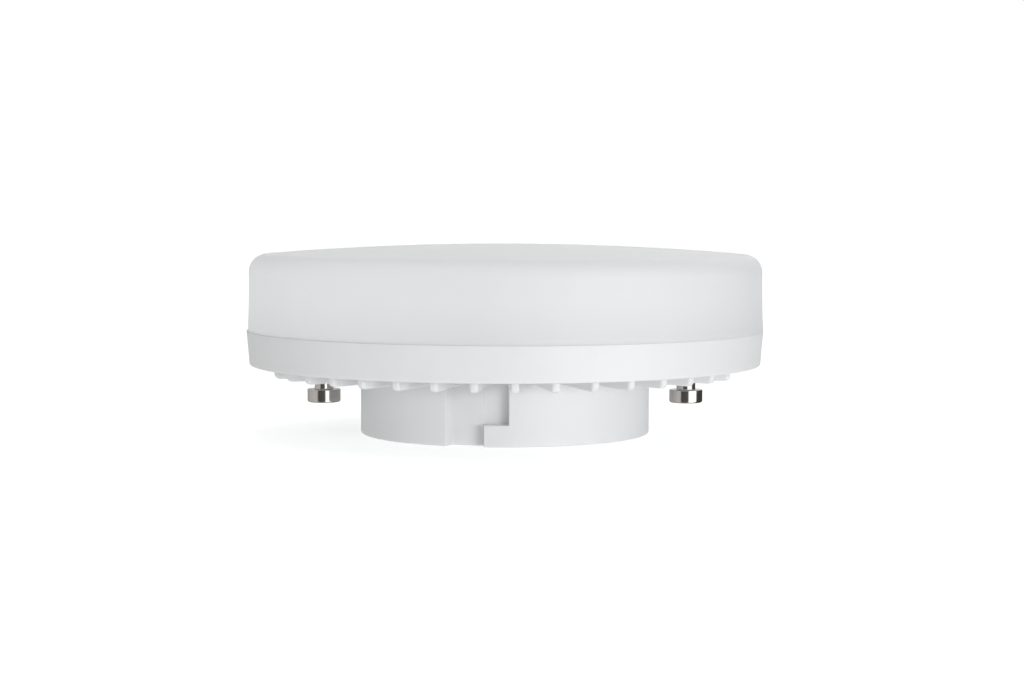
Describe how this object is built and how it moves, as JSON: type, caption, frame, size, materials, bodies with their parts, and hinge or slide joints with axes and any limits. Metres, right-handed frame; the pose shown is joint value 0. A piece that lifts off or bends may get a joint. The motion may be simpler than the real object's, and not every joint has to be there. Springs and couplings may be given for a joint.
{
  "type": "led disc lamp",
  "caption": "Flat disc-shaped LED lamp with an opal diffuser, a finned white housing, a central bayonet hub and headed contact pins.",
  "frame": {"origin": "centre of the hub's flat end face", "axes": "+Z from the hub's end to the diffuser, +X to the right-hand contact pin, -Y to the viewer of the picture"},
  "size_m": [0.075, 0.075, 0.0275],
  "materials": {
    "housing_plastic": "satin white moulded plastic with a very fine texture",
    "diffuser_plastic": "frosted opal plastic, satin",
    "pin_metal": "turned and nickel-plated, shiny",
    "spreader_metal": "pressed sheet, plain",
    "led_board_coating": "white solder mask on an aluminium core",
    "led_package": "yellow phosphor in a white frame",
    "screw_steel": "zinc-plated",
    "driver_board_laminate": "green solder mask on glass-fibre laminate",
    "capacitor_sleeve": "black shrink sleeve",
    "ferrite": "sintered, dull dark grey",
    "winding_tape": "yellow polyester tape",
    "film_case": "dipped, dark red",
    "chip_case": "black epoxy",
    "fuse_body": "lacquered, blue-green",
    "wire_blue": "smooth insulation",
    "wire_brown": "smooth insulation",
    "wire_black": "smooth insulation",
    "wire_red": "smooth insulation"
  },
  "bodies": {
    "root": {"housing": "housing_plastic", "diffuser": "diffuser_plastic", "contact_pin_left": "pin_metal", "contact_pin_right": "pin_metal", "heat_spreader": "spreader_metal", "led_board": "led_board_coating", "board_screw_1": "screw_steel", "board_screw_2": "screw_steel", "board_screw_3": "screw_steel", "driver_screw_1": "screw_steel", "driver_screw_2": "screw_steel", "driver_board": "driver_board_laminate", "input_capacitor": "capacitor_sleeve", "output_capacitor": "capacitor_sleeve", "transformer_core": "ferrite", "filter_inductor": "ferrite", "transformer_winding": "winding_tape", "film_capacitor": "film_case", "bridge_rectifier": "chip_case", "driver_chip": "chip_case", "fuse_resistor": "fuse_body", "mains_wire_left": "wire_blue", "mains_wire_right": "wire_brown", "led_wire_minus": "wire_black", "led_wire_plus": "wire_red", "led_01": "led_package", "led_02": "led_package", "led_03": "led_package", "led_04": "led_package", "led_05": "led_package", "led_06": "led_package", "led_07": "led_package", "led_08": "led_package", "led_09": "led_package", "led_10": "led_package", "led_11": "led_package", "led_12": "led_package", "led_13": "led_package", "led_14": "led_package", "led_15": "led_package", "led_16": "led_package", "led_17": "led_package", "led_18": "led_package"}
  },
  "joints": []
}
